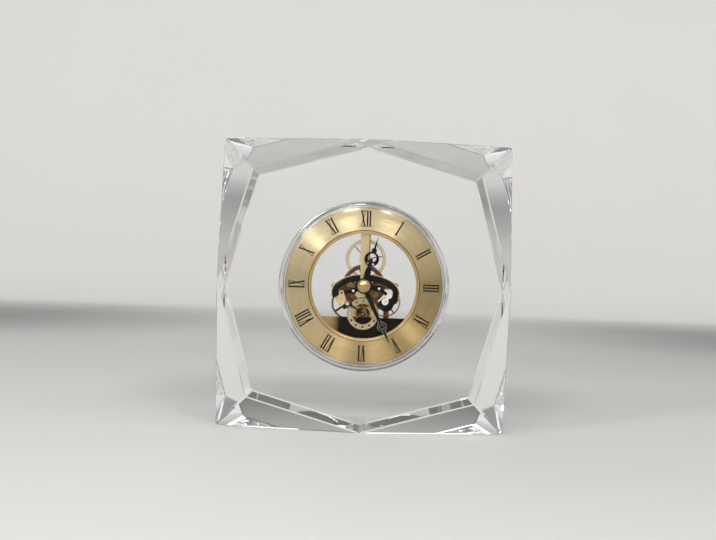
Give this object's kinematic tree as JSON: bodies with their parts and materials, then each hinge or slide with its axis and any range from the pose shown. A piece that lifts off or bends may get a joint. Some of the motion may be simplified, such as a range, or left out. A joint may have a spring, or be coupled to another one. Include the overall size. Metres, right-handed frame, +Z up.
{
  "type": "crystal desk clock",
  "caption": "Desk clock: a faceted clear crystal block with a round see-through insert, Roman numerals and an open geared movement.",
  "frame": {"origin": "middle of the flat base, on the surface that the block stands on, midway between its front and back faces", "axes": "+X to the right as seen from the dial, +Y from the dial to the back, +Z up"},
  "size_m": [0.12, 0.055, 0.12],
  "materials": {
    "crystal": "polished lead-free crystal, clear",
    "clear_plastic": "clear polished acrylic",
    "rubber": "soft translucent grey band",
    "steel": "fine turned steel",
    "brushed_gold": "sunray brushed, gilt",
    "dark_gold": "dark gilt",
    "pale_gold": "pale gilt, satin",
    "gold": "polished gilt",
    "bronze": "copper-brown plated",
    "dark_bronze": "dark copper-brown plated",
    "copper": "enamelled copper wire",
    "black_plate": "gloss black with bright edges",
    "black_print": "satin black print",
    "black_plastic": "gloss black",
    "grey_plastic": "moulded",
    "circuit": "brown laminate",
    "jewel": "pink synthetic ruby, polished"
  },
  "bodies": {
    "block": {"crystal_block": "crystal"},
    "insert": {"front_lens": "clear_plastic", "case_shell": "clear_plastic", "grip_band": "rubber", "rear_window": "clear_plastic", "window_retainer": "steel", "chapter_ring": "brushed_gold", "dial_lip": "dark_gold", "numerals": "black_print", "hanging_bridge": "pale_gold", "bridge_screws": "steel", "front_plate": "black_plate", "back_plate": "dark_gold", "plate_pillars": "gold", "plate_screws": "steel", "pillar_screws": "steel", "left_cock": "gold", "right_cock": "pale_gold", "seconds_arm": "black_plate", "pivot_jewels": "jewel", "battery_housing": "black_plastic", "housing_screws": "steel", "button_cell": "steel", "contact_negative": "gold", "contact_positive": "gold", "circuit_board": "circuit", "quartz_can": "steel", "driver_chip": "black_plastic", "motor_coil": "copper", "motor_stator": "steel", "motor_capsule": "grey_plastic"},
    "minute_arbor": {"centre_arbor": "steel", "centre_wheel": "bronze", "cannon_pinion": "gold", "minute_hand": "black_plate", "centre_cap": "gold"},
    "minute_work": {"minute_wheel": "pale_gold", "minute_wheel_arbor": "steel", "setting_knob": "black_plastic"},
    "hour_work": {"hour_wheel": "dark_bronze", "hour_hand": "black_plate"},
    "third_train": {"third_wheel": "dark_bronze", "third_arbor": "steel"},
    "seconds_train": {"seconds_ring": "pale_gold", "seconds_gear": "gold", "seconds_arbor": "steel"},
    "right_train": {"right_wheel": "bronze", "right_arbor": "steel"},
    "lid": {"battery_lid": "black_plastic"}
  },
  "joints": [
    {"name": "insert_slide", "type": "slide", "parent": "block", "child": "insert", "axis": [0, -1, 0], "range_m": [0, 0.03]},
    {"name": "minute_turn", "type": "hinge", "parent": "insert", "child": "minute_arbor", "pos_m": [0, 0, 0.06], "axis": [0, 1, 0], "continuous": true},
    {"name": "minute_wheel_turn", "type": "hinge", "parent": "insert", "child": "minute_work", "pos_m": [0.0005, 0, 0.07099], "axis": [0, 1, 0], "continuous": true},
    {"name": "hour_turn", "type": "hinge", "parent": "insert", "child": "hour_work", "pos_m": [0, 0, 0.06], "axis": [0, 1, 0], "continuous": true},
    {"name": "third_wheel_turn", "type": "hinge", "parent": "insert", "child": "third_train", "pos_m": [-0.00644, 0, 0.05272], "axis": [0, 1, 0], "continuous": true},
    {"name": "seconds_turn", "type": "hinge", "parent": "insert", "child": "seconds_train", "pos_m": [0, 0, 0.0486], "axis": [0, 1, 0], "continuous": true},
    {"name": "right_wheel_turn", "type": "hinge", "parent": "insert", "child": "right_train", "pos_m": [0.00891, 0, 0.0539], "axis": [0, 1, 0], "continuous": true},
    {"name": "lid_slide", "type": "slide", "parent": "insert", "child": "lid", "axis": [0, 1, 0], "range_m": [0, 0.008]}
  ],
  "couplings": [
    {"joint": "minute_wheel_turn", "follows": "minute_turn", "ratio": -0.33333},
    {"joint": "hour_turn", "follows": "minute_turn", "ratio": 0.083333},
    {"joint": "third_wheel_turn", "follows": "minute_turn", "ratio": -8},
    {"joint": "seconds_turn", "follows": "minute_turn", "ratio": 60},
    {"joint": "right_wheel_turn", "follows": "minute_turn", "ratio": -4}
  ]
}
